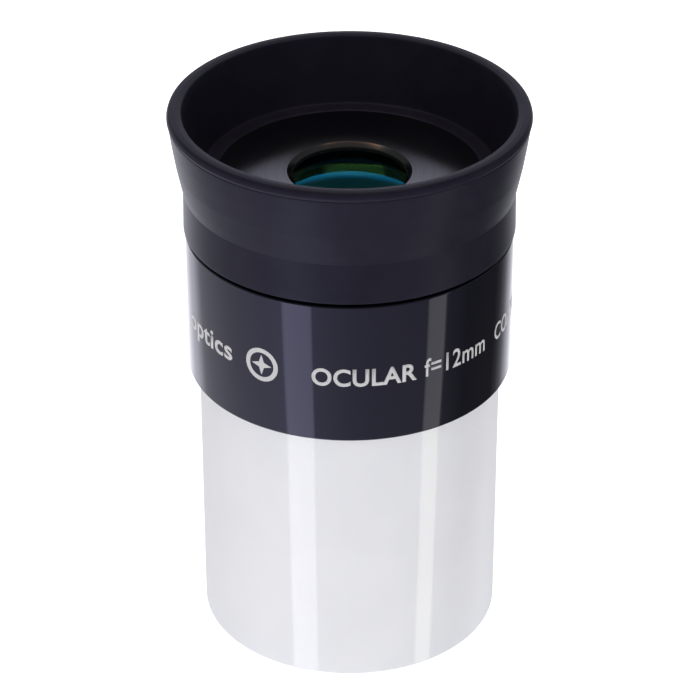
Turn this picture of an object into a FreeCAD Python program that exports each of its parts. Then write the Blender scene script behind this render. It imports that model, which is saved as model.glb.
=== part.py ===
"""A 12 mm telescope eyepiece built round two cemented doublets, for a 1.25 inch focuser.

It stands on the open end of its nosepiece, with +Z up the optical axis and the origin at the centre of that end.
From the bottom up: a plated nosepiece with a filter thread, a black housing screwed on top of it, and a rubber
eyecup that grips the housing's neck. Inside the housing a threaded lens cell holds two cemented doublets, a spacer
and a retaining ring. The field stop sits on a ledge in the top of the nosepiece.
"""
import FreeCAD, Part

import math
import os

import Sketcher

# Driving dimensions in millimetres. A height or reach is along the optical axis.
SIZES = {
    # nosepiece
    "barrel_radius": 15.875,
    "barrel_reach": 30.3,
    "barrel_wall": 2.275,
    "foot_round": 0.35,
    "filter_bore": 13.93,
    "filter_thread_reach": 4.0,
    "filter_pitch": 0.6,
    "filter_lead_in": 0.45,
    "filter_relief": 0.8,
    "filter_ring_count": 6,
    "spigot_step": 0.775,
    "spigot_reach": 4.2,
    "spigot_pitch": 0.75,
    "spigot_ring_count": 4,
    "tooth_depth": 0.25,
    # field stop
    "stop_ledge": 0.5,
    "stop_depth": 5.0,
    "stop_rim_height": 1.6,
    "stop_rim_wall": 1.0,
    "stop_web": 0.6,
    "stop_opening": 5.45,
    # housing
    "housing_wall": 1.85,
    "housing_reach": 15.7,
    "housing_edge": 0.25,
    "socket_reach": 4.6,
    "neck_step": 1.8,
    "neck_reach": 6.4,
    "bead_groove_depth": 0.8,
    "bead_groove_width": 1.7,
    "bead_groove_height": 1.6,
    "plate_ledge": 1.7,
    "plate_step": 1.15,
    "eye_land": 0.47,
    "eye_chamfer": 0.5,
    "eye_lip": 0.8,
    # lens cell
    "cell_wall": 1.67,
    "cell_flange_step": 1.8,
    "cell_flange_height": 4.0,
    "cell_lip": 0.5,
    "cell_chamfer": 0.25,
    "cell_seat": 0.5,
    "cell_skirt_reach": 2.4,
    "cell_mouth_step": 0.37,
    "cell_mouth_depth": 3.4,
    "cell_pitch": 0.6,
    "cell_ring_count": 4,
    # lenses, and what holds them
    "lens_radius": 6.9,
    "outer_curve": 26.0,
    "cemented_curve": 11.5,
    "inner_curve": 22.0,
    "flint_thickness": 1.6,
    "crown_edge": 1.0,
    "air_gap": 0.7,
    "spacer_wall": 0.8,
    "ring_seat": 0.7,
    "ring_height": 1.8,
    "slot_width": 1.2,
    "slot_depth": 0.8,
    # eyecup
    "cup_gap": 0.4,
    "band_overhang": 0.17,
    "crease_waist": 0.11,
    "crease_height": 4.35,
    "cup_height": 13.1,
    "rim_flare": 1.43,
    "rim_wall": 1.5,
    "rim_drop": 0.55,
    "rim_round": 0.3,
    "cup_ledge": 1.45,
    "flange_slope": 0.2,
    # clearances
    "running_gap": 0.05,
    "glass_gap": 0.03,
    "thread_shoulder": 0.3,
    "fold_gap": 0.02,
}


class Dim:
    """A length that knows its number and the expression of sheet cells that gives it."""

    def __init__(self, number, text):
        self.number = number
        self.text = text

    def same_as(self, other):
        return self.text == other.text

    def joined(self, other, sign, number):
        return Dim(number, f"({self.text} {sign} {other.text})")

    def __add__(self, other):
        return self.joined(other, "+", self.number + other.number)

    def __sub__(self, other):
        return self.joined(other, "-", self.number - other.number)

    def __mul__(self, other):
        return self.joined(other, "*", self.number * other.number)


def size(alias):
    """The dimension of that name in the sheet."""
    return Dim(float(SIZES[alias]), f"Sizes.{alias}")


def share(number):
    """A plain number, for a fraction or a count."""
    return Dim(float(number), str(number))


def sag(curve, radius):
    """How far a spherical surface of that curve falls from its vertex, at that radius."""
    number = curve.number - math.sqrt(curve.number**2 - radius.number**2)
    return Dim(number, f"({curve.text} - sqrt({curve.text} * {curve.text} - {radius.text} * {radius.text}))")


ZERO = share(0)

# Radii that several pieces share
gap = size("running_gap")
barrel_radius = size("barrel_radius")
barrel_bore = barrel_radius - size("barrel_wall")
stop_seat_radius = barrel_bore + size("stop_ledge")
spigot_radius = barrel_radius - size("spigot_step")
socket_radius = spigot_radius + gap
housing_radius = socket_radius + size("housing_wall")
neck_radius = housing_radius - size("neck_step")
groove_radius = neck_radius - size("bead_groove_depth")
plate_radius = neck_radius - size("plate_ledge")

lens_radius = size("lens_radius")
cell_bore = lens_radius + size("glass_gap")
cell_mouth = cell_bore + size("cell_mouth_step")
cell_radius = cell_bore + size("cell_wall")
cell_flange_radius = cell_radius + size("cell_flange_step")
cell_opening = lens_radius - size("cell_seat")
eye_opening = cell_opening - size("eye_land")
spacer_bore = lens_radius - size("spacer_wall")
ring_opening = lens_radius - size("ring_seat")

band_radius = housing_radius + size("band_overhang")
crease_radius = band_radius - size("crease_waist")
rim_radius = band_radius + size("rim_flare")
rim_bore = rim_radius - size("rim_wall")
wall_foot_radius = plate_radius + size("cup_ledge")

# Heights from the foot of the nosepiece up to the rim of the eyecup
shoulder_z = size("barrel_reach")
spigot_top_z = shoulder_z + size("spigot_reach")
socket_top_z = shoulder_z + size("socket_reach")
stop_seat_z = spigot_top_z - size("stop_depth")
neck_foot_z = shoulder_z + size("housing_reach")
groove_foot_z = neck_foot_z + size("bead_groove_height")
groove_top_z = groove_foot_z + size("bead_groove_width")
plate_z = neck_foot_z + size("neck_reach")
step_z = plate_z - size("plate_step")
cup_foot_z = neck_foot_z + size("cup_gap")
crease_z = cup_foot_z + size("crease_height")
rim_z = cup_foot_z + size("cup_height")
wall_foot_z = plate_z + size("flange_slope")

# Heights of the lens stack, from the cell's lip down to its foot
outer_curve = size("outer_curve")
cemented_curve = size("cemented_curve")
inner_curve = size("inner_curve")
cemented_sag = sag(cemented_curve, lens_radius)
crown_thickness = size("crown_edge") + cemented_sag + sag(inner_curve, lens_radius)
cell_top_z = plate_z - size("eye_lip")
lens_seat_z = cell_top_z - size("cell_lip")
eye_top_z = lens_seat_z + sag(outer_curve, cell_opening)
eye_cement_z = eye_top_z - size("flint_thickness")
eye_foot_z = eye_cement_z - crown_thickness
field_top_z = eye_foot_z - size("air_gap")
field_cement_z = field_top_z - crown_thickness
field_foot_z = field_cement_z - size("flint_thickness")
spacer_top_z = eye_foot_z + sag(inner_curve, spacer_bore)
spacer_foot_z = field_top_z - sag(inner_curve, spacer_bore)
ring_top_z = field_foot_z + sag(outer_curve, ring_opening)
ring_foot_z = ring_top_z - size("ring_height")
cell_foot_z = ring_foot_z - size("cell_mouth_depth")
cell_thread_foot_z = cell_foot_z + size("cell_skirt_reach")
cell_flange_z = cell_thread_foot_z + size("cell_flange_height")

doc = FreeCAD.newDocument("Eyepiece")


def make_sheet():
    """The driving dimensions as a spreadsheet, one named cell each."""
    sheet = doc.addObject("Spreadsheet::Sheet", "Sizes")
    for row, (alias, number) in enumerate(SIZES.items(), start=1):
        sheet.set(f"A{row}", alias)
        sheet.set(f"B{row}", str(number))
        sheet.setAlias(f"B{row}", alias)
    doc.recompute()


# Drawing tools
def make_body(name):
    body = doc.addObject("PartDesign::Body", name)
    body.Label = name
    return body


def make_sketch(body, name, role="XZ_Plane"):
    """A sketch on one of the body's own origin planes."""
    plane = next(p for p in body.Origin.OriginFeatures if p.Role == role)
    sketch = body.newObject("Sketcher::SketchObject", name)
    sketch.AttachmentSupport = [(plane, "")]
    sketch.MapMode = "FlatFace"
    return sketch


def bind(sketch, constraint, length):
    """Adds a dimension to the sketch and ties it to the sheet."""
    index = sketch.addConstraint(constraint)
    sketch.setExpression(f"Constraints[{index}]", length.text)


def place_across(sketch, line, across):
    """Holds the start of a line at a distance from the upright axis."""
    if across.same_as(ZERO):
        sketch.addConstraint(Sketcher.Constraint("PointOnObject", line, 1, -2))
    else:
        bind(sketch, Sketcher.Constraint("DistanceX", -1, 1, line, 1, across.number), across)


def place_up(sketch, line, up):
    """Holds the start of a line at a height over the level axis."""
    if up.same_as(ZERO):
        sketch.addConstraint(Sketcher.Constraint("PointOnObject", line, 1, -1))
    else:
        bind(sketch, Sketcher.Constraint("DistanceY", -1, 1, line, 1, up.number), up)


def draw_outline(sketch, corners):
    """A closed outline of straight lines through corners, each a distance from the axis and a height.

    A line whose two ends share a dimension is held upright or level, so each dimension is stated once."""
    count = len(corners)
    points = [FreeCAD.Vector(across.number, up.number, 0) for across, up in corners]
    for i in range(count):
        sketch.addGeometry(Part.LineSegment(points[i], points[(i + 1) % count]))
    for i in range(count):
        sketch.addConstraint(Sketcher.Constraint("Coincident", i, 2, (i + 1) % count, 1))
    for i, (across, up) in enumerate(corners):
        upright = i > 0 and across.same_as(corners[i - 1][0])
        level = i > 0 and up.same_as(corners[i - 1][1])
        if upright:
            sketch.addConstraint(Sketcher.Constraint("Vertical", i - 1))
        else:
            place_across(sketch, i, across)
        if level:
            sketch.addConstraint(Sketcher.Constraint("Horizontal", i - 1))
        else:
            place_up(sketch, i, up)


def turn(body, sketch, kind, name):
    """Turns a sketch a full turn round the optical axis, as material or as a cut."""
    feature = body.newObject(kind, name)
    feature.Profile = sketch
    feature.ReferenceAxis = (sketch, ["V_Axis"])
    feature.Angle = 360
    sketch.Visibility = False
    doc.recompute()
    return feature


def turned_body(name, corners):
    """A body turned from an outline of straight lines."""
    body = make_body(name)
    sketch = make_sketch(body, f"{name}_section")
    draw_outline(sketch, corners)
    turn(body, sketch, "PartDesign::Revolution", f"{name}_turned")
    return body


def circle_edges(shape, across, up):
    """Names of the circular edges with that radius at that height."""
    found = []
    for index, edge in enumerate(shape.Edges, start=1):
        curve = edge.Curve
        if not isinstance(curve, Part.Circle):
            continue
        if abs(curve.Radius - across.number) < 1e-4 and abs(curve.Center.z - up.number) < 1e-4:
            found.append(f"Edge{index}")
    if not found:
        raise ValueError(f"no edge of radius {across.number} at height {up.number}")
    return found


def soften(body, kind, places, amount, name):
    """Fillets or chamfers the circular edges at those places, each a radius and a height."""
    base = body.Tip
    names = [edge for across, up in places for edge in circle_edges(base.Shape, across, up)]
    feature = body.newObject(kind, name)
    feature.Base = (base, names)
    feature.setExpression("Radius" if kind.endswith("Fillet") else "Size", amount.text)
    doc.recompute()


def thread_rings(body, name, crest, outwards, first_z, pitch, count, downwards=False):
    """A row of V grooves that stands for a thread, cut into a bore's wall or into a stub."""
    depth = size("tooth_depth")
    root = crest + depth if outwards else crest - depth
    open_side = crest - gap if outwards else crest + gap
    half = pitch * share(0.35)
    sketch = make_sketch(body, f"{name}_tooth")
    draw_outline(sketch, [(open_side, first_z - half), (root, first_z), (open_side, first_z + half)])
    groove = turn(body, sketch, "PartDesign::Groove", f"{name}_groove")
    pattern = body.newObject("PartDesign::LinearPattern", f"{name}_rings")
    pattern.Originals = [groove]
    pattern.Direction = (sketch, ["V_Axis"])
    pattern.Reversed = downwards
    pattern.setExpression("Length", (pitch * (count - share(1))).text)
    pattern.setExpression("Occurrences", count.text)
    body.Tip = pattern
    doc.recompute()


def spanner_slots(body, inner, outer, foot_z, count=2):
    """Notches in the foot of a ring that a spanner turns it by."""
    depth = size("slot_depth")
    half = size("slot_width") * share(0.5)
    top_z = foot_z + depth
    sketch = make_sketch(body, f"{body.Name}_slot", "XY_Plane")
    sketch.setExpression("AttachmentOffset.Base.z", top_z.text)
    doc.recompute()
    points = [(inner, ZERO - half), (outer, ZERO - half), (outer, half), (inner, half)]
    draw_outline(sketch, points)
    doc.recompute()
    pocket = body.newObject("PartDesign::Pocket", f"{body.Name}_notch")
    pocket.Profile = sketch
    pocket.setExpression("Length", (depth + gap).text)
    sketch.Visibility = False
    doc.recompute()
    pattern = body.newObject("PartDesign::PolarPattern", f"{body.Name}_notches")
    pattern.Originals = [pocket]
    pattern.Axis = (sketch, ["N_Axis"])
    pattern.Angle = 360
    pattern.Occurrences = count
    body.Tip = pattern
    doc.recompute()


# Pieces
def make_barrel():
    """Plated nosepiece: filter thread at its foot, ledge for the field stop, threaded spigot."""
    thread_top_z = size("filter_lead_in") + size("filter_thread_reach")
    relief_radius = size("filter_bore") + size("tooth_depth")
    relief_top_z = thread_top_z + size("filter_relief")
    body = turned_body("barrel", [
        (size("filter_bore"), ZERO),
        (barrel_radius, ZERO),
        (barrel_radius, shoulder_z),
        (spigot_radius, shoulder_z),
        (spigot_radius, spigot_top_z),
        (stop_seat_radius, spigot_top_z),
        (stop_seat_radius, stop_seat_z),
        (barrel_bore, stop_seat_z),
        (barrel_bore, relief_top_z),
        (relief_radius, relief_top_z),
        (relief_radius, thread_top_z),
        (size("filter_bore"), thread_top_z),
    ])
    soften(body, "PartDesign::Fillet", [(barrel_radius, ZERO)], size("foot_round"), "barrel_foot_round")
    soften(body, "PartDesign::Chamfer", [(size("filter_bore"), ZERO)], size("filter_lead_in"), "barrel_lead_in")
    thread_rings(body, "filter", size("filter_bore"), True, size("filter_lead_in") + size("filter_pitch"),
                 size("filter_pitch"), size("filter_ring_count"))
    thread_rings(body, "spigot", spigot_radius, False, shoulder_z + size("spigot_pitch") * share(1.5),
                 size("spigot_pitch"), size("spigot_ring_count"))
    return body


def make_field_stop():
    """Black ring in the top of the nosepiece, with a rim and a thin web round the field opening."""
    outer = stop_seat_radius - gap
    inner = outer - size("stop_rim_wall")
    web_top_z = stop_seat_z + size("stop_web")
    edge_top_z = stop_seat_z + size("stop_rim_height")
    return turned_body("field_stop", [
        (size("stop_opening"), stop_seat_z),
        (outer, stop_seat_z),
        (outer, edge_top_z),
        (inner, edge_top_z),
        (inner, web_top_z),
        (size("stop_opening") + size("stop_web"), web_top_z),
    ])


def make_housing():
    """Black body: threaded socket below, bore and thread for the lens cell, neck and top plate above."""
    thread_bore = cell_flange_radius + gap
    shoulder = cell_flange_z + size("thread_shoulder")
    body = turned_body("housing", [
        (socket_radius, shoulder_z),
        (housing_radius, shoulder_z),
        (housing_radius, neck_foot_z),
        (neck_radius, neck_foot_z),
        (neck_radius, groove_foot_z),
        (groove_radius, groove_foot_z),
        (groove_radius, groove_top_z),
        (neck_radius, groove_top_z),
        (neck_radius, step_z),
        (plate_radius, step_z),
        (plate_radius, plate_z),
        (eye_opening, plate_z),
        (eye_opening, cell_top_z),
        (cell_radius + gap, cell_top_z),
        (cell_radius + gap, shoulder),
        (thread_bore, shoulder),
        (thread_bore, socket_top_z),
        (socket_radius, socket_top_z),
    ])
    rims = [(housing_radius, shoulder_z), (housing_radius, neck_foot_z)]
    soften(body, "PartDesign::Chamfer", [(eye_opening, plate_z)], size("eye_chamfer"), "eye_bevel")
    soften(body, "PartDesign::Fillet", rims, size("housing_edge"), "housing_edges")
    thread_rings(body, "socket", socket_radius, True, shoulder_z + size("spigot_pitch") * share(1.5),
                 size("spigot_pitch"), size("spigot_ring_count"))
    thread_rings(body, "cell_seat", thread_bore, True, cell_flange_z - size("cell_pitch"),
                 size("cell_pitch"), size("cell_ring_count"), downwards=True)
    return body


def make_lens_cell():
    """Tube round the lenses: a bevelled lip, a threaded flange, a mouth for the clamping ring."""
    mouth_top_z = ring_top_z + size("thread_shoulder")
    body = turned_body("lens_cell", [
        (cell_mouth, cell_foot_z),
        (cell_radius, cell_foot_z),
        (cell_radius, cell_thread_foot_z),
        (cell_flange_radius, cell_thread_foot_z),
        (cell_flange_radius, cell_flange_z),
        (cell_radius, cell_flange_z),
        (cell_radius, cell_top_z),
        (cell_opening, cell_top_z),
        (cell_opening, lens_seat_z),
        (cell_bore, lens_seat_z),
        (cell_bore, mouth_top_z),
        (cell_mouth, mouth_top_z),
    ])
    soften(body, "PartDesign::Chamfer", [(cell_opening, cell_top_z)], size("cell_chamfer"), "cell_bevel")
    thread_rings(body, "cell", cell_flange_radius, False, cell_flange_z - size("cell_pitch"),
                 size("cell_pitch"), size("cell_ring_count"), downwards=True)
    spanner_slots(body, cell_mouth - gap, cell_radius + gap, cell_foot_z)
    return body


def make_retaining_ring():
    """Slotted ring that screws up the mouth of the cell and clamps the lenses."""
    outer = cell_mouth - gap
    body = turned_body("lens_retaining_ring", [
        (ring_opening, ring_foot_z),
        (outer, ring_foot_z),
        (outer, ring_top_z),
        (ring_opening, ring_top_z),
    ])
    spanner_slots(body, ring_opening - gap, outer + gap, ring_foot_z)
    return body


def make_spacer():
    """Plain ring between the two doublets, which touches each on its inner edge."""
    return turned_body("lens_spacer", [
        (spacer_bore, spacer_foot_z),
        (lens_radius, spacer_foot_z),
        (lens_radius, spacer_top_z),
        (spacer_bore, spacer_top_z),
    ])


def ball(name, curve, centre_z):
    """Sphere whose surface is one face of a lens."""
    sphere = doc.addObject("Part::Sphere", name)
    sphere.setExpression("Radius", curve.text)
    sphere.setExpression("Placement.Base.z", centre_z.text)
    return sphere


def blank(name, low_z, high_z):
    """Round blank that a lens is ground from."""
    cylinder = doc.addObject("Part::Cylinder", name)
    cylinder.setExpression("Radius", lens_radius.text)
    cylinder.setExpression("Height", (high_z - low_z).text)
    cylinder.setExpression("Placement.Base.z", low_z.text)
    return cylinder


def make_crown(name, cement_ball, inner_ball, low_z, high_z):
    """Thick glass of a doublet, bulging on both faces."""
    lens = doc.addObject("Part::MultiCommon", name)
    lens.Shapes = [blank(f"{name}_blank", low_z, high_z), cement_ball, inner_ball]
    lens.Label = name
    return lens


def make_flint(name, outer_ball, cement_ball, low_z, high_z):
    """Thin glass of a doublet, bulging outside and hollow where the crown is cemented in."""
    bulge = doc.addObject("Part::MultiCommon", f"{name}_bulge")
    bulge.Shapes = [blank(f"{name}_blank", low_z, high_z), outer_ball]
    lens = doc.addObject("Part::Cut", name)
    lens.Base = bulge
    lens.Tool = cement_ball
    lens.Label = name
    return lens


def make_lenses():
    """The two cemented doublets, with their crowns facing each other across the air gap."""
    eye_outer = ball("eye_outer_face", outer_curve, eye_top_z - outer_curve)
    eye_cement = ball("eye_cement_face", cemented_curve, eye_cement_z - cemented_curve)
    eye_inner = ball("eye_inner_face", inner_curve, eye_foot_z + inner_curve)
    field_inner = ball("field_inner_face", inner_curve, field_top_z - inner_curve)
    field_cement = ball("field_cement_face", cemented_curve, field_cement_z + cemented_curve)
    field_outer = ball("field_outer_face", outer_curve, field_foot_z + outer_curve)
    eye_flint = make_flint("eye_flint_lens", eye_outer, eye_cement, eye_cement_z - cemented_sag, eye_top_z)
    eye_crown = make_crown("eye_crown_lens", eye_cement, eye_inner, eye_foot_z, eye_cement_z)
    field_crown = make_crown("field_crown_lens", field_cement, field_inner, field_cement_z, field_top_z)
    field_flint = make_flint("field_flint_lens", field_outer, field_cement, field_foot_z,
                             field_cement_z + cemented_sag)
    doc.recompute()
    return [eye_flint, eye_crown, field_crown, field_flint]


def make_eyecup_sleeve():
    """Foot of the eyecup: a band round the neck, a bead in its groove, a flange on its step."""
    bore = neck_radius + gap
    bead = groove_radius + gap
    return turned_body("eyecup_sleeve", [
        (bore, cup_foot_z),
        (band_radius, cup_foot_z),
        (crease_radius, crease_z - size("fold_gap")),
        (wall_foot_radius, wall_foot_z - size("fold_gap")),
        (plate_radius + gap, plate_z),
        (plate_radius + gap, step_z),
        (bore, step_z),
        (bore, groove_top_z - gap),
        (bead, groove_top_z - gap),
        (bead, groove_foot_z + gap),
        (bore, groove_foot_z + gap),
    ])


def make_eyecup_skirt():
    """Flared upper part of the eyecup, from the crease that it folds at up to the rim."""
    body = turned_body("eyecup_skirt", [
        (crease_radius, crease_z),
        (rim_radius, rim_z - size("rim_drop")),
        (rim_radius, rim_z),
        (rim_bore, rim_z),
        (wall_foot_radius, wall_foot_z),
    ])
    rims = [(rim_radius, rim_z), (rim_bore, rim_z)]
    soften(body, "PartDesign::Fillet", rims, size("rim_round"), "rim_edges")
    return body


def check_document():
    """Stops the build if any object failed to compute."""
    for item in doc.Objects:
        if "Invalid" in item.State or "Error" in item.State:
            raise RuntimeError(f"{item.Name} did not compute")


def write_parts(pieces):
    """Writes each piece as its own STEP file, named after it."""
    os.makedirs("parts", exist_ok=True)
    for piece in pieces:
        shape = piece.Shape
        if shape.isNull() or not shape.isValid() or len(shape.Solids) != 1:
            raise RuntimeError(f"{piece.Label} is not one sound solid")
        shape.exportStep(f"parts/{piece.Label}.step")
        print(f"{piece.Label}: {shape.Volume:.1f} cubic mm, {len(shape.Faces)} faces")


make_sheet()
pieces = [
    make_barrel(),
    make_field_stop(),
    make_housing(),
    make_lens_cell(),
    make_retaining_ring(),
    make_spacer(),
    make_eyecup_sleeve(),
    make_eyecup_skirt(),
]
pieces += make_lenses()
doc.recompute()
check_document()
write_parts(pieces)
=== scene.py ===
import bmesh
import bpy
import math
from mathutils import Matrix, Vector


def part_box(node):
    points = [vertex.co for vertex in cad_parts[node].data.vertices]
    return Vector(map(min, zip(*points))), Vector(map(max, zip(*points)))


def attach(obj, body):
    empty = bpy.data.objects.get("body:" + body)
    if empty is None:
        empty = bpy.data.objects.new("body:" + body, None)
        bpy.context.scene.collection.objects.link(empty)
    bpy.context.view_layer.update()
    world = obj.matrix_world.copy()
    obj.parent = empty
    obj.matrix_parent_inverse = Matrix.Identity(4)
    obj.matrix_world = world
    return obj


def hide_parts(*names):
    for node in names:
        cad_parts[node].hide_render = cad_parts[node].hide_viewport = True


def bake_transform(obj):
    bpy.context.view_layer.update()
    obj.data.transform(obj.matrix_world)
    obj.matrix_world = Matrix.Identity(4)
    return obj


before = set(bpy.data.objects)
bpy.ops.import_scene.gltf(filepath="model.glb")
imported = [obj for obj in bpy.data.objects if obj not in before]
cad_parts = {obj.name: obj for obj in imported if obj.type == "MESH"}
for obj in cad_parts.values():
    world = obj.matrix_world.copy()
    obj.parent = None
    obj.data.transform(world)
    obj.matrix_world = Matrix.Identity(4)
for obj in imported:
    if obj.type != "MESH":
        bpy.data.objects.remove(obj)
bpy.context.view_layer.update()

# Lengths below are in millimetres and are turned to metres when a mesh is made. The eyepiece stands
# on the open end of its nosepiece with the optical axis up +Z, and its lettering faces -Y.
MM = 0.001
TURNS = 288  # faces round every turned piece


def low(node):
    """Lowest height of a CAD node, in millimetres."""
    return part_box(node)[0].z / MM


def high(node):
    """Greatest height of a CAD node, in millimetres."""
    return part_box(node)[1].z / MM


def wide(node):
    """Greatest radius of a CAD node, in millimetres."""
    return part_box(node)[1].x / MM


# --------------------------------------------------------------------------------------------------
# Node wiring
# --------------------------------------------------------------------------------------------------
class Wire:
    """An output socket, with arithmetic that adds maths nodes."""

    def __init__(self, tree, socket):
        self.tree = tree
        self.socket = socket

    def maths(self, operation, other=None, third=None):
        inputs = [value for value in (self, other, third) if value is not None]
        return self.tree.node("ShaderNodeMath", inputs, operation=operation)[0]

    def __add__(self, other):
        return self.maths("ADD", other)

    def __radd__(self, other):
        return self.maths("ADD", other)

    def __sub__(self, other):
        return self.maths("SUBTRACT", other)

    def __rsub__(self, other):
        return self.maths("MULTIPLY_ADD", -1.0, other)

    def __mul__(self, other):
        return self.maths("MULTIPLY", other)

    def __rmul__(self, other):
        return self.maths("MULTIPLY", other)

    def __truediv__(self, other):
        return self.maths("DIVIDE", other)

    def power(self, other):
        return self.maths("POWER", other)

    def clamped(self):
        return self.tree.node("ShaderNodeClamp", [self])[0]


class Tree:
    """A node tree under construction, for a material, the room or a geometry modifier."""

    def __init__(self, node_tree):
        self.node_tree = node_tree
        self.node_tree.nodes.clear()

    def node(self, kind, inputs=(), stops=(), **settings):
        """Adds a node and gives its outputs as wires.

        Settings and colour stops are set first, then the inputs, by place or by name. A list joins
        several wires in one input."""
        made = self.node_tree.nodes.new(kind)
        for name, value in settings.items():
            setattr(made, name, value)
        if stops:
            ladder = made.color_ramp.elements
            while len(ladder) < len(stops):
                ladder.new(0.5)
            for step, (position, shade) in zip(ladder, stops):
                step.position = position
                step.color = shade
        pairs = inputs.items() if isinstance(inputs, dict) else enumerate(inputs)
        for key, value in pairs:
            for one in value if isinstance(value, list) else [value]:
                self.feed(made.inputs[key], one)
        return [Wire(self, socket) for socket in made.outputs if socket.enabled]

    def feed(self, socket, value):
        if isinstance(value, Wire):
            self.node_tree.links.new(value.socket, socket)
        else:
            socket.default_value = value

    def ramp(self, value, low_value, high_value, low_out, high_out):
        """Soft step from one output to another as a value goes from low to high."""
        settings = [value, low_value, high_value, low_out, high_out]
        return self.node("ShaderNodeMapRange", settings, interpolation_type="SMOOTHSTEP")[0]

    def mix(self, factor, first, second):
        """Blend of two colours."""
        return self.node("ShaderNodeMix", {0: factor, 6: first, 7: second}, data_type="RGBA")[0]


class Shader(Tree):
    """A material under construction, with the patterns that the finishes share."""

    def __init__(self, name):
        self.material = bpy.data.materials.new(name)
        self.material.use_nodes = True
        super().__init__(self.material.node_tree)

    def place(self):
        """Object position in millimetres."""
        on_object = self.node("ShaderNodeTexCoord")[3]
        to_mm = (1 / MM, 1 / MM, 1 / MM)
        return self.node("ShaderNodeVectorMath", [on_object, to_mm], operation="MULTIPLY")[0]

    def round_place(self):
        """Distance from the optical axis and height, in millimetres."""
        x, y, z = self.node("ShaderNodeSeparateXYZ", [self.place()])
        return (x * x + y * y).power(0.5), z

    def lathe_marks(self, fineness):
        """Fine rings left by turning: noise that changes across the rings and hardly changes along them."""
        radius, height = self.round_place()
        across = radius + height
        point = self.node("ShaderNodeCombineXYZ", [across * fineness, radius * 0.2, height * 0.2])[0]
        noise = {"Vector": point, "Scale": 1.0, "Detail": 4.0, "Roughness": 0.65}
        return self.node("ShaderNodeTexNoise", noise)[0]

    def grain(self, scale, detail=3.0):
        """Even noise at a number of cycles per millimetre."""
        noise = {"Vector": self.place(), "Scale": scale, "Detail": detail}
        return self.node("ShaderNodeTexNoise", noise)[0]

    def bump(self, height, depth_mm):
        inputs = {"Height": height, "Distance": depth_mm * MM, "Strength": 1.0}
        return self.node("ShaderNodeBump", inputs)[0]

    def ends_in(self, surface):
        """Ends the material in a surface and gives the material."""
        self.node("ShaderNodeOutputMaterial", {"Surface": surface})
        return self.material

    def finish(self, inputs):
        """Ends the material in one principled surface."""
        return self.ends_in(self.node("ShaderNodeBsdfPrincipled", inputs)[0])


def colour(r, g, b):
    return (r, g, b, 1.0)


def satin_plate():
    """Silver nosepiece: a pale satin plating under a thin clear gloss."""
    s = Shader("satin_plated_metal")
    marks = s.lathe_marks(9.0)
    cloud = s.grain(0.12)
    tint = s.mix(s.ramp(cloud, 0.35, 0.65, 0.0, 1.0), colour(0.775, 0.79, 0.83), colour(0.795, 0.81, 0.85))
    facing = s.node("ShaderNodeLayerWeight", {"Blend": 0.5})[1]
    return s.finish({
        "Base Color": tint,
        "Roughness": s.ramp(marks, 0.3, 0.7, 0.46, 0.54),
        "Specular IOR Level": 0.0,
        "Coat Weight": s.ramp(facing, 0.4, 0.7, 1.0, 0.0),
        "Coat Roughness": 0.03,
        "Coat IOR": 1.65,
        "Normal": s.bump(marks, 0.0003),
    })


def gloss_black():
    """Black body: smooth paint over turned metal."""
    s = Shader("gloss_black_paint")
    peel = s.grain(0.5)
    marks = s.lathe_marks(6.0)
    return s.finish({
        "Base Color": s.mix(peel, colour(0.002, 0.002, 0.004), colour(0.003, 0.003, 0.006)),
        "Roughness": s.ramp(marks, 0.3, 0.7, 0.03, 0.05),
        "IOR": 1.5,
        "Specular Tint": colour(0.65, 0.63, 0.92),
        "Normal": s.bump(peel, 0.0004),
    })


def turned_black():
    """Face round the eye opening: satin black over fine turned rings."""
    s = Shader("turned_black_metal")
    marks = s.lathe_marks(10.0)
    return s.finish({
        "Base Color": s.mix(marks, colour(0.0015, 0.0015, 0.003), colour(0.003, 0.003, 0.005)),
        "Roughness": s.ramp(marks, 0.3, 0.7, 0.17, 0.22),
        "IOR": 1.55,
        "Specular Tint": colour(0.85, 0.84, 1.0),
        "Normal": s.bump(marks, 0.0006),
    })


def bevel_black():
    """Polished bevel at the edge of the eye opening."""
    s = Shader("bevel_black_metal")
    marks = s.lathe_marks(8.0)
    return s.finish({
        "Base Color": s.mix(marks, colour(0.055, 0.052, 0.053), colour(0.08, 0.076, 0.078)),
        "Metallic": 1.0,
        "Roughness": 0.22,
    })


def rubber():
    """Matt moulded rubber, duller at the lip, with a fine grain and the rings of its turned mould."""
    s = Shader("moulded_rubber")
    fine = s.grain(14.0, 2.0)
    patches = s.ramp(s.grain(0.35), 0.3, 0.7, 0.0, 1.0)
    _, height = s.round_place()
    rim = high("eyecup_skirt")
    dull_lip = s.ramp(height, rim - 1.2, rim - 0.5, 0.0, 0.17)
    return s.finish({
        "Base Color": s.mix(patches, colour(0.0105, 0.0098, 0.0175), colour(0.0125, 0.0118, 0.0205)),
        "Roughness": s.ramp(fine, 0.3, 0.7, 0.33, 0.41) + dull_lip,
        "IOR": 1.24,
        "Specular Tint": colour(0.68, 0.68, 1.0),
        "Normal": s.bump(fine + s.lathe_marks(5.0) * 0.6, 0.004),
    })


def blackened():
    """Matt black inside metalwork."""
    s = Shader("blackened_metal")
    marks = s.lathe_marks(5.0)
    return s.finish({
        "Base Color": s.mix(marks, colour(0.008, 0.008, 0.009), colour(0.014, 0.014, 0.015)),
        "Roughness": 0.5,
        "Normal": s.bump(marks, 0.002),
    })


def print_white():
    """Pale printed lettering."""
    s = Shader("pale_print")
    worn = s.grain(3.0)
    return s.finish({
        "Base Color": s.mix(worn, colour(0.52, 0.52, 0.54), colour(0.62, 0.62, 0.64)),
        "Roughness": 0.45,
    })


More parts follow.
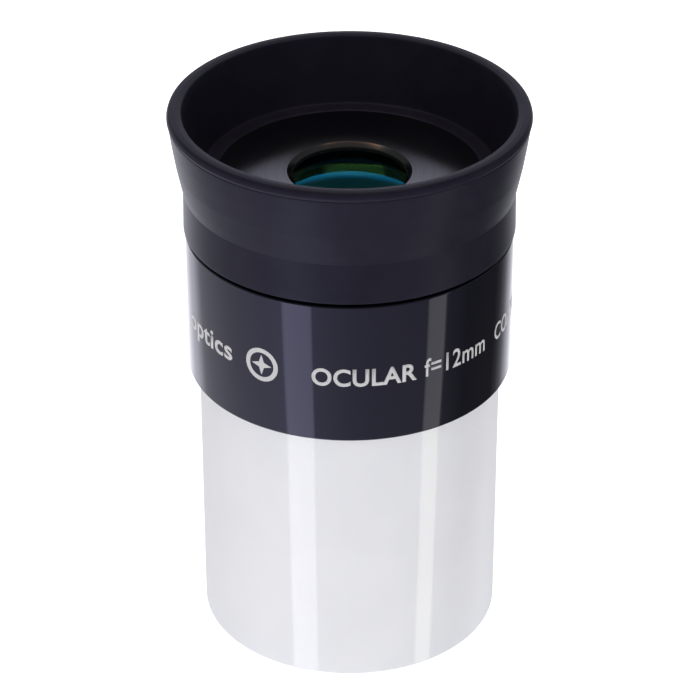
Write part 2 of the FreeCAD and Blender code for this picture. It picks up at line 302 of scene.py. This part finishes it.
def coated_glass(name, tint, mirror):
    """Polished glass with a coloured coating that tints what it mirrors."""
    s = Shader(name)
    haze = s.grain(0.4)
    crown_ior = 1.52
    gloss = s.node("ShaderNodeBsdfGlossy", {"Color": tint, "Roughness": 0.0})[0]
    passed = {"Color": colour(0.97, 0.99, 0.98), "Roughness": 0.0, "IOR": crown_ior}
    clear = s.node("ShaderNodeBsdfRefraction", passed)[0]
    fresnel = s.node("ShaderNodeFresnel", {"IOR": crown_ior})[0]
    share = fresnel * s.ramp(haze, 0.2, 0.8, mirror * 0.96, mirror)
    both = s.node("ShaderNodeMixShader", [share.clamped(), clear, gloss])[0]
    return s.ends_in(both)


def cement():
    """Cemented face between two glasses, which light goes straight through."""
    s = Shader("clear_cement")
    speck = s.grain(0.8)
    return s.finish({
        "Base Color": s.mix(speck, colour(0.99, 0.99, 0.99), colour(1.0, 1.0, 1.0)),
        "Roughness": 0.0,
        "Transmission Weight": 1.0,
        "IOR": 1.001,
    })


def ground_edge():
    """Ground edge of a lens, blackened."""
    s = Shader("blackened_glass_edge")
    fine = s.grain(6.0)
    return s.finish({
        "Base Color": s.mix(fine, colour(0.006, 0.006, 0.006), colour(0.012, 0.012, 0.012)),
        "Roughness": 0.7,
    })


# --------------------------------------------------------------------------------------------------
# Turned meshes
# --------------------------------------------------------------------------------------------------
def rounded(corners):
    """Replaces each corner (radius, height, round, material) that has a round by an arc."""
    out = []
    count = len(corners)
    short_step = 0.2
    for i, (r, z, bend, mat) in enumerate(corners):
        before = Vector(corners[i - 1][:2])
        here = Vector((r, z))
        after = Vector(corners[(i + 1) % count][:2])
        if not bend:
            out.append((r, z, mat))
            continue
        back, on = (before - here).normalized(), (after - here).normalized()
        half = back.angle(on) / 2
        reach = min(bend / math.tan(half), (before - here).length * 0.49, (after - here).length * 0.49)
        radius = reach * math.tan(half)
        centre = here + (back + on).normalized() * (radius / math.sin(half))
        start = here + back * reach - centre
        turn = start.angle_signed(here + on * reach - centre)
        steps = max(3, int(abs(turn) / short_step))
        for k in range(steps + 1):
            angle = -turn * k / steps
            c, q = math.cos(angle), math.sin(angle)
            point = centre + Vector((start.x * c - start.y * q, start.x * q + start.y * c))
            out.append((point.x, point.y, mat))
    return out


def lathe(name, outline, materials, sharp=30.0, shift=None):
    """A closed turned mesh from an outline of (radius, height, material of the face that starts there).

    A radius of zero is a point. shift(radius, height, angle) gives a moved radius and height, for
    threads and slots. sharp is the angle in degrees past which an edge isn't shaded smooth."""
    made = bmesh.new()
    rings = []
    for r, z, _ in outline:
        if r < 1e-6:
            rings.append([made.verts.new((0, 0, z * MM))] * TURNS)
            continue
        ring = []
        for k in range(TURNS):
            a = 2 * math.pi * k / TURNS
            q, h = shift(r, z, a) if shift else (r, z)
            ring.append(made.verts.new((q * math.sin(a) * MM, -q * math.cos(a) * MM, h * MM)))
        rings.append(ring)
    count = len(outline)
    for i in range(count):
        one, two = rings[i], rings[(i + 1) % count]
        if one[0] is one[1] and two[0] is two[1]:
            continue
        for k in range(TURNS):
            m = (k + 1) % TURNS
            corners = []
            for vert in (one[k], one[m], two[m], two[k]):
                if vert not in corners:
                    corners.append(vert)
            made.faces.new(corners).material_index = outline[i][2]
    bmesh.ops.recalc_face_normals(made, faces=made.faces)
    mesh = bpy.data.meshes.new(name)
    made.to_mesh(mesh)
    made.free()
    mesh.shade_smooth()
    mesh.set_sharp_from_angle(angle=math.radians(sharp))
    for material in materials:
        mesh.materials.append(material)
    thing = bpy.data.objects.new(name, mesh)
    bpy.context.scene.collection.objects.link(thing)
    return thing


def arc_down(radius, top, curve, mat):
    """Outline points along a lens face from the axis to its edge. A positive curve falls outwards."""
    out = []
    steps = 24
    for k in range(steps + 1):
        r = radius * k / steps
        fall = abs(curve) - math.sqrt(curve * curve - r * r)
        out.append((r, top - math.copysign(fall, curve), mat))
    return out


def climb(radius, foot, top, mat=0):
    """Close outline points along a surface that gets a thread."""
    spacing = 0.06
    count = int(abs(top - foot) / spacing)
    return [(radius, foot + (top - foot) * k / count, 0, mat) for k in range(count + 1)]


def machined(threads=(), slot_foot=None):
    """Shift for lathe that cuts right-hand threads, and a slot across the foot for a spanner.

    Each thread is the radius of its crests, its foot and top, the pitch and how far its roots lie
    outwards, which is negative for a thread on the outside of a piece."""
    touching = 1e-4
    slot_half, slot_depth = 0.6, 0.8
    fade = 0.3

    def shift(radius, height, angle):
        at_foot = slot_foot is not None and abs(height - slot_foot) < touching
        if at_foot and abs(radius * math.cos(angle)) < slot_half:
            return radius, height + slot_depth
        for surface, foot, top, pitch, depth in threads:
            if abs(radius - surface) < touching and foot < height < top:
                phase = (height / pitch - angle / (2 * math.pi)) % 1.0
                run_out = min(1.0, (height - foot) / fade, (top - height) / fade)
                return radius + depth * run_out * (1 - abs(2 * phase - 1)), height
        return radius, height

    return shift


# --------------------------------------------------------------------------------------------------
# Pieces. An outline's corners are (radius, height, round, material), and its materials are numbered
# in the order that lathe gets them.
# --------------------------------------------------------------------------------------------------
def nosepiece(plate, dark):
    """Bright nosepiece with a real filter thread in its mouth and a thread on its spigot."""
    r, top, shoulder = wide("barrel"), high("barrel"), low("housing")
    bore, filter_bore, spigot, seat = 13.6, 13.93, r - 0.775, 14.1
    seat_z = low("field_stop")
    relief, relief_foot, relief_top = filter_bore + 0.25, 4.6, 5.25
    lead_in = 0.42
    outline = [(filter_bore + lead_in, 0, 0.06, 0), (r, 0, 0.32, 0), (r, shoulder, 0.05, 0)]
    outline += climb(spigot, shoulder, top - 0.1, 1)
    outline += [
        (spigot - 0.15, top, 0, 1), (seat, top, 0, 1), (seat, seat_z, 0, 1), (bore, seat_z, 0, 1),
        (bore, relief_top, 0, 1), (relief, relief_top, 0, 1), (relief, relief_foot, 0, 0),
    ]
    outline += climb(filter_bore, relief_foot, lead_in)
    filter_pitch, spigot_pitch = 0.6, 0.75
    threads = [
        (filter_bore, 0.3, relief_foot - 0.01, filter_pitch, 0.28),
        (spigot, shoulder + 0.3, top - 0.1, spigot_pitch, -0.25),
    ]
    piece = lathe("nosepiece", rounded(outline), [plate, dark], shift=machined(threads))
    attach(piece, "nosepiece")
    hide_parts("barrel")


def body_shell(paint, face, bevel, dark):
    """Black housing: gloss outside, satin turned face on top, polished bevel at the eye opening."""
    r, foot, top = wide("housing"), low("housing"), high("housing")
    shoulder, neck = low("eyecup_sleeve") - 0.4, r - 1.8
    cell_r, cell_top = 8.65, high("lens_cell")
    socket, socket_top = 15.15, foot + 4.6
    flange_r, flange_top = 10.45, low("lens_cell") + 6.7
    groove, groove_foot, groove_top = neck - 0.8, shoulder + 1.6, shoulder + 3.3
    plate, plate_foot = 13.5, top - 1.15
    eye = 5.93
    outline = [
        (socket, foot, 0.05, 0), (r, foot, 0.22, 0), (r, shoulder, 0.22, 0), (neck, shoulder, 0, 0),
        (neck, groove_foot, 0, 3), (groove, groove_foot, 0, 3), (groove, groove_top, 0, 3),
        (neck, groove_top, 0, 3), (neck, plate_foot, 0, 3), (plate, plate_foot, 0, 1), (plate, top, 0.06, 1),
        (eye + 0.5, top, 0.04, 2), (eye, top - 0.42, 0.05, 3), (eye, cell_top, 0, 3),
        (cell_r, cell_top, 0, 3), (cell_r, flange_top, 0, 3), (flange_r, flange_top, 0, 3),
        (flange_r, socket_top, 0, 3), (socket, socket_top, 0, 3),
    ]
    piece = lathe("body_shell", rounded(outline), [paint, face, bevel, dark])
    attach(piece, "head")
    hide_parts("housing")


def eyecup(material):
    """Rubber eyecup as one moulding, from the band round the neck to the lip."""
    foot, crease, rim = low("eyecup_sleeve"), low("eyecup_skirt"), high("eyecup_skirt")
    r = wide("eyecup_skirt")
    ledge = high("housing")
    under_ledge = ledge - 1.15
    waist = 17.1
    bore, bead = 15.25, 14.45
    plate_hole = 13.56
    outline = [
        (bore + 0.05, foot, 0.1, 0), (17.17, foot, 0.12, 0), (waist + 0.01, crease - 0.05, 0.15, 0),
        (waist, crease + 0.05, 0.15, 0), (17.36, rim - 7.55, 2.0, 0), (17.8, rim - 5.4, 2.0, 0),
        (18.18, rim - 3.0, 2.0, 0), (18.44, rim - 1.05, 0.3, 0), (18.4, rim - 0.96, 0.03, 0),
        (r, rim - 0.62, 0.35, 0), (18.42, rim - 0.02, 0.35, 0), (17.7, rim, 0.3, 0),
        (17.1, rim - 0.08, 0.22, 0), (15.0, ledge + 0.22, 0.25, 0), (13.72, ledge + 0.02, 0.1, 0),
        (plate_hole, ledge - 0.1, 0.03, 0), (plate_hole, under_ledge, 0, 0), (bore, under_ledge, 0, 0),
        (bore, foot + 2.95, 0, 0), (bead, foot + 2.85, 0, 0), (bead, foot + 1.25, 0, 0),
        (bore, foot + 1.15, 0, 0),
    ]
    longest = 0.5
    fine = []
    smooth = rounded(outline)
    for i, (a, z, mat) in enumerate(smooth):
        b, w, _ = smooth[(i + 1) % len(smooth)]
        pieces = max(1, int(math.hypot(b - a, w - z) / longest))
        for k in range(pieces):
            fine.append((a + (b - a) * k / pieces, z + (w - z) * k / pieces, mat))
    piece = lathe("eyecup", fine, [material], sharp=50.0)
    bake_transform(piece)
    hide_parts("eyecup_sleeve", "eyecup_skirt")


def ring(node, outline, materials, body, slot_name, shift=None):
    """A turned piece that stands for the CAD node of the same kind."""
    piece = lathe(f"{node}_turned", rounded(outline), materials, shift=shift)
    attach(piece, body)
    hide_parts(node)


def inner_rings(dark, bevel):
    """Lens cell, spacer, clamping ring and field stop."""
    top, foot = high("lens_cell"), low("lens_cell")
    outside, pocket, mouth_bore, lip = 8.6, 6.93, 7.3, 6.4
    lip_foot = top - 0.5
    mouth = high("lens_retaining_ring") + 0.3
    flange = (10.4, foot + 2.4, foot + 6.4)
    cell_pitch = 0.6
    ring("lens_cell", [
        (mouth_bore, foot, 0, 0), (outside, foot, 0, 0), (outside, flange[1], 0, 0), *climb(*flange),
        (outside, flange[2], 0, 0), (outside, top, 0.05, 0), (lip + 0.25, top, 0.04, 1),
        (lip, top - 0.25, 0.04, 1), (lip, lip_foot, 0, 0), (pocket, lip_foot, 0, 0), (pocket, mouth, 0, 0),
        (mouth_bore, mouth, 0, 0),
    ], [dark, bevel], "head", "blackened_metal", machined([(*flange, cell_pitch, -0.25)], foot))

    def band(node, inside, outside, shift=None):
        foot, top = low(node), high(node)
        square = [(inside, foot, 0, 0), (outside, foot, 0, 0), (outside, top, 0, 0), (inside, top, 0, 0)]
        ring(node, square, [dark], "head", "blackened_metal", shift)

    band("lens_spacer", 6.1, 6.9)
    band("lens_retaining_ring", 6.2, 7.25, machined(slot_foot=low("lens_retaining_ring")))
    seat = low("field_stop")
    web, rim_top = seat + 0.6, seat + 1.6
    rim, rim_bore = 14.05, 13.05
    ring("field_stop", [
        (5.45, seat, 0, 0), (rim, seat, 0.05, 0), (rim, rim_top, 0.1, 0), (rim_bore, rim_top, 0.1, 0),
        (rim_bore, web, 0, 0), (6.05, web, 0, 0),
    ], [dark], "nosepiece", "blackened_metal")


def lens(node, upper, lower, materials):
    """A lens from its two faces, with its ground edge between them."""
    outline = upper + list(reversed(lower))
    piece = lathe(f"{node}_polished", outline, materials, sharp=20.0)
    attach(piece, "head")
    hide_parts(node)


def lenses(coats, glue, edge):
    """The two doublets. Each face's place comes from the CAD pieces in model.glb. The materials of a lens
    are its coating, the cement and its ground edge."""
    r = wide("eye_flint_lens")
    outer, cemented, inner = 26.0, 11.5, 22.0
    eye_top = high("eye_flint_lens")
    eye_cement = high("eye_crown_lens")
    eye_foot = low("eye_crown_lens")
    field_top = high("field_crown_lens")
    field_cement = low("field_crown_lens")
    field_foot = low("field_flint_lens")

    def face(top, curve, mat, edge_mat=None):
        points = arc_down(r, top, curve, mat)
        if edge_mat is not None:
            points[-1] = points[-1][:2] + (edge_mat,)
        return points

    hair = 0.004  # gap that keeps the two cemented faces apart
    lens("eye_flint_lens", face(eye_top, outer, 0, 2), face(eye_cement + hair, cemented, 1),
         [coats[0], glue, edge])
    lens("eye_crown_lens", face(eye_cement, cemented, 1, 2), face(eye_foot, -inner, 0),
         [coats[1], glue, edge])
    lens("field_crown_lens", face(field_top, inner, 0, 2), face(field_cement, -cemented, 1),
         [coats[1], glue, edge])
    lens("field_flint_lens", face(field_cement - hair, -cemented, 1, 2), face(field_foot, -outer, 0),
         [coats[0], glue, edge])


def print_wrap():
    """Geometry nodes that thicken a flat print and bend it round a turned body.

    Its sizes are in millimetres: the body's radius, the angle of the print's middle, the height of
    its foot line, and how far its skin is sunk in and stands proud."""
    group = bpy.data.node_groups.new("print_wrap", "GeometryNodeTree")
    group.interface.new_socket("Print", in_out="INPUT", socket_type="NodeSocketGeometry")
    for name in ("Radius", "Middle", "Foot", "Sunk", "Proud"):
        group.interface.new_socket(name, in_out="INPUT", socket_type="NodeSocketFloat")
    group.interface.new_socket("Ink", in_out="INPUT", socket_type="NodeSocketMaterial")
    group.interface.new_socket("Wrapped", in_out="OUTPUT", socket_type="NodeSocketGeometry")
    t = Tree(group)
    flat, radius, middle, foot, sunk, proud, ink = t.node("NodeGroupInput")[:7]
    lift = {"Mesh": flat, "Offset": (0, 0, 1), "Offset Scale": sunk + proud, "Individual": False}
    lifted = t.node("GeometryNodeExtrudeMesh", lift)[0]
    back = t.node("GeometryNodeFlipFaces", [flat])[0]
    skin = t.node("GeometryNodeJoinGeometry", [[lifted, back]])[0]
    closed = t.node("GeometryNodeMergeByDistance", {"Geometry": skin, "Distance": 1e-4})[0]
    x, y, z = t.node("ShaderNodeSeparateXYZ", t.node("GeometryNodeInputPosition"))
    angle = x / radius + middle
    reach = (radius - sunk + z) * MM
    bent = [reach * angle.maths("SINE"), reach * angle.maths("COSINE") * -1.0, (foot + y) * MM]
    place = t.node("ShaderNodeCombineXYZ", bent)[0]
    wrapped = t.node("GeometryNodeSetPosition", {"Geometry": closed, "Position": place})[0]
    real = t.node("GeometryNodeRealizeInstances", [wrapped])[0]
    inked = t.node("GeometryNodeSetMaterial", {"Geometry": real, "Material": ink})[0]
    t.node("NodeGroupOutput", [inked])
    return group


def printed(flat, wrap, name, width, sizes):
    """Cuts a flat print into narrow strips, so that it bends, and wraps it round the housing."""
    strip = 0.25
    cuts = int(width / strip) + 2
    for k in range(-cuts, cuts + 1):
        parts = flat.verts[:] + flat.edges[:] + flat.faces[:]
        bmesh.ops.bisect_plane(flat, geom=parts, plane_co=(k * strip, 0, 0), plane_no=(1, 0, 0))
    bmesh.ops.remove_doubles(flat, verts=flat.verts, dist=1e-5)
    for face in flat.faces:
        if face.normal.z < 0:
            face.normal_flip()
    mesh = bpy.data.meshes.new(name)
    flat.to_mesh(mesh)
    flat.free()
    piece = bpy.data.objects.new(name, mesh)
    bpy.context.scene.collection.objects.link(piece)
    modifier = piece.modifiers.new("wrap", "NODES")
    modifier.node_group = wrap
    for item in wrap.interface.items_tree:
        if item.name in sizes:
            modifier[item.identifier] = sizes[item.name]
    bpy.context.view_layer.update()
    wrapped = bpy.data.meshes.new_from_object(piece.evaluated_get(bpy.context.evaluated_depsgraph_get()))
    piece.modifiers.remove(modifier)
    piece.data = wrapped
    bpy.data.meshes.remove(mesh)
    wrapped.name = name
    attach(piece, "head")


def word(text, height, width, bold):
    """Flat letters of one word, centred on x = 0 with their feet on y = 0, in millimetres."""
    curve = bpy.data.curves.new(text, "FONT")
    curve.body = text
    curve.size = 1.0
    curve.offset = bold
    curve.align_x = "CENTER"
    curve.resolution_u = 6
    curve.space_character = 1.04
    carrier = bpy.data.objects.new(text, curve)
    bpy.context.scene.collection.objects.link(carrier)
    bpy.context.view_layer.update()
    mesh = bpy.data.meshes.new_from_object(carrier.evaluated_get(bpy.context.evaluated_depsgraph_get()))
    bpy.data.objects.remove(carrier)
    letters = bmesh.new()
    letters.from_mesh(mesh)
    bpy.data.meshes.remove(mesh)
    left = min(vert.co.x for vert in letters.verts)
    right = max(vert.co.x for vert in letters.verts)
    capital = 0.73
    for vert in letters.verts:
        across = (vert.co.x - (left + right) / 2) * width / (right - left)
        vert.co = Vector((across, vert.co.y * height / capital, 0))
    return letters


def ring_and_star(size, line):
    """Flat emblem: a ring round a four-pointed star, standing on y = 0, in millimetres."""
    flat = bmesh.new()
    outer = size / 2
    inner = outer - line
    steps = 48

    def corner(reach, turn):
        return flat.verts.new((reach * math.cos(turn), outer + reach * math.sin(turn), 0))

    for k in range(steps):
        one, two = 2 * math.pi * k / steps, 2 * math.pi * (k + 1) / steps
        flat.faces.new([corner(outer, one), corner(outer, two), corner(inner, two), corner(inner, one)])
    centre = flat.verts.new((0, outer, 0))
    long_point, short_point = inner * 0.84, inner * 0.3
    tips = [corner(short_point if k % 2 else long_point, math.pi * k / 4) for k in range(8)]
    for k in range(8):
        flat.faces.new([centre, tips[k], tips[(k + 1) % 8]])
    return flat


def lettering(ink):
    """Generic lettering round the housing, each word between two angles on a shared foot line."""
    r = wide("housing")
    foot = low("housing") + 6.6
    wrap = print_wrap()

    def sizes(middle_deg, drop=0.0):
        return {"Radius": r, "Middle": math.radians(middle_deg), "Foot": foot - drop,
                "Sunk": 0.02, "Proud": 0.015, "Ink": ink}

    for name, text, height, start, end, bold in (
        ("maker_word", "optics", 2.3, -74.0, -44.5, 0.02),
        ("kind_word", "OCULAR", 2.0, -13.0, 23.5, 0.025),
        ("focal_length", "f=12mm", 2.15, 26.4, 54.2, 0.01),
        ("coating_word", "COATED", 2.0, 61.0, 92.0, 0.012),
    ):
        width = math.radians(end - start) * r
        printed(word(text, height, width, bold), wrap, name, width, sizes((start + end) / 2))
    emblem_size = 3.8
    printed(ring_and_star(emblem_size, 0.5), wrap, "emblem", emblem_size, sizes(-31.5, 0.9))


# --------------------------------------------------------------------------------------------------
# Studio
# --------------------------------------------------------------------------------------------------
def flat_mesh(name, corners, material):
    """One flat face of the stage."""
    mesh = bpy.data.meshes.new(name)
    mesh.from_pydata([Vector(c) for c in corners], [], [list(range(len(corners)))])
    mesh.materials.append(material)
    thing = bpy.data.objects.new(name, mesh)
    bpy.context.scene.collection.objects.link(thing)
    return thing


FULL_LIGHT = 3.0
UPPER_DIM, UPPER_BACK, OVERHEAD = 0.25, 1.5, 1.7
# Brightness of what the upright sides mirror, by compass direction in degrees from the front,
# anticlockwise from above. The two steps near -46 to -26 and 56 to 70 are upright strip windows.
ROOM_LIGHT = [
    (-180, 1.2), (-163, 1.5), (-155, 1.5), (-147, 1.4), (-140, 1.5), (-134, 1.3), (-127, 0.85),
    (-118, 0.85), (-105, 0.95), (-90, 1.0), (-58, 1.2), (-47.0, 1.35), (-46.2, 2.9), (-26.8, 2.7),
    (-26.0, 1.1), (0, 0.78), (16, 0.68), (55.6, 0.52), (56.4, 1.95), (69.6, 1.8), (70.4, 0.32),
    (82, 0.2), (90, 0.12), (123, 0.07), (131, 0.16), (139, 0.4), (147, 0.9), (155, 1.15),
    (163, 1.35), (171, 1.3), (180, 1.2),
]


def grey(level, blue=1.0):
    """Colour of a neutral light of some brightness, as a share of full light."""
    share = level / FULL_LIGHT
    return colour(share, share, share * blue)


def room():
    """Soft room. Low down it is lit by direction, which draws streaks and a shaded flank on turned
    sides. Higher up it is dim, with a bright patch at the back and a panel overhead for the lens."""
    world = bpy.data.worlds.new("soft_room")
    bpy.context.scene.world = world
    world.use_nodes = True
    s = Tree(world.node_tree)
    coords = s.node("ShaderNodeTexCoord")
    x, y, z = s.node("ShaderNodeSeparateXYZ", [coords[0]])
    turn = x.maths("ARCTAN2", 0.0 - y) * (0.5 / math.pi) + 0.5
    stops = []
    for degrees, level in ROOM_LIGHT:
        blue = 0.86 if 56 < degrees < 70 else 1.1
        stops.append((degrees / 360 + 0.5, grey(level, blue)))
    below = s.node("ShaderNodeValToRGB", [turn], stops)[0]
    sideways = x.maths("ABSOLUTE")
    back = s.ramp(y, 0.35, 0.7, 0.0, 1.0) * s.ramp(sideways, 0.32, 0.6, 1.0, 0.0)
    back = back * s.ramp(z, 0.45, 0.54, 1.0, 0.0)
    window = s.ramp(y, 0.27, 0.30, 1.0, 0.0) * s.ramp(y, -0.07, -0.06, 0.0, 1.0)
    window = window * s.ramp(x, 0.36, 0.38, 1.0, 0.0) * s.ramp(x, -0.54, -0.51, 0.0, 1.0)
    window = window * s.ramp(z, 0.55, 0.6, 0.0, 1.0)
    near_edge = s.ramp(y, -0.03, -0.015, 1.0, 0.0)
    panel = s.mix(near_edge, grey(OVERHEAD), colour(2.6, 1.5, 0.8))
    above = s.mix(window, s.mix(back, grey(UPPER_DIM), grey(UPPER_BACK, 1.18)), panel)
    light = s.mix(s.ramp(z, -0.06, 0.06, 0.0, 1.0), below, above)
    background = s.node("ShaderNodeBackground", {"Color": light, "Strength": FULL_LIGHT})[0]
    s.node("ShaderNodeOutputWorld", {"Surface": background})


def softbox(name, place, aim, width, height, power, tint):
    """Area lamp aimed at a point."""
    lamp = bpy.data.lights.new(name, "AREA")
    lamp.shape = "RECTANGLE"
    lamp.size, lamp.size_y = width, height
    lamp.energy = power
    lamp.color = tint
    thing = bpy.data.objects.new(name, lamp)
    bpy.context.scene.collection.objects.link(thing)
    thing.location = place
    thing.rotation_euler = (Vector(aim) - Vector(place)).to_track_quat("-Z", "Y").to_euler()
    return thing


def studio():
    """White floor that glows all round the eyepiece's foot, two softboxes and the room."""
    floor = Shader("white_floor")
    shade = floor.grain(0.02)
    radius, _ = floor.round_place()
    open_floor = floor.ramp(radius, 15.2, 15.8, 0.0, 1.0)
    paper = floor.finish({
        "Base Color": floor.mix(shade, colour(0.86, 0.86, 0.87), colour(0.88, 0.88, 0.88)),
        "Roughness": 0.8,
        "Emission Color": floor.mix(open_floor, colour(0, 0, 0), colour(1, 1, 1)),
        "Emission Strength": 0.85,
    })
    sheet = flat_mesh("floor", [(-3, -3, 0), (3, -3, 0), (3, 3, 0), (-3, 3, 0)], paper)
    sheet.visible_glossy = False
    for side in (-1, 1):
        lamp = softbox("softbox", (0.32 * side, -0.52, 0.3), (0, 0, 0.03), 0.4, 0.4, 0.5, (0.97, 0.98, 1.0))
        lamp.visible_glossy = False
    room()
    bpy.context.scene.view_settings.view_transform = "Standard"


def camera():
    """Long lens from the front, a little over thirty degrees above the table."""
    data = bpy.data.cameras.new("camera")
    data.lens = 160.94
    data.sensor_width = 36
    data.shift_x = 0.0006
    data.clip_start = 0.01
    thing = bpy.data.objects.new("camera", data)
    bpy.context.scene.collection.objects.link(thing)
    rise = math.radians(31.04)
    distance = 0.3315
    aim = Vector((0, 0, 0.0309))
    thing.location = aim + Vector((0, -math.cos(rise), math.sin(rise))) * distance
    thing.rotation_euler = (aim - thing.location).to_track_quat("-Z", "Y").to_euler()
    bpy.context.scene.camera = thing


dark = blackened()
bevel = bevel_black()
nosepiece(satin_plate(), dark)
body_shell(gloss_black(), turned_black(), bevel, dark)
eyecup(rubber())
inner_rings(dark, bevel)
coats = [coated_glass("teal_coated_glass", colour(0.02, 0.58, 0.98), 0.82),
         coated_glass("green_coated_glass", colour(0.32, 1.0, 0.25), 0.42)]
lenses(coats, cement(), ground_edge())
lettering(print_white())
studio()
camera()
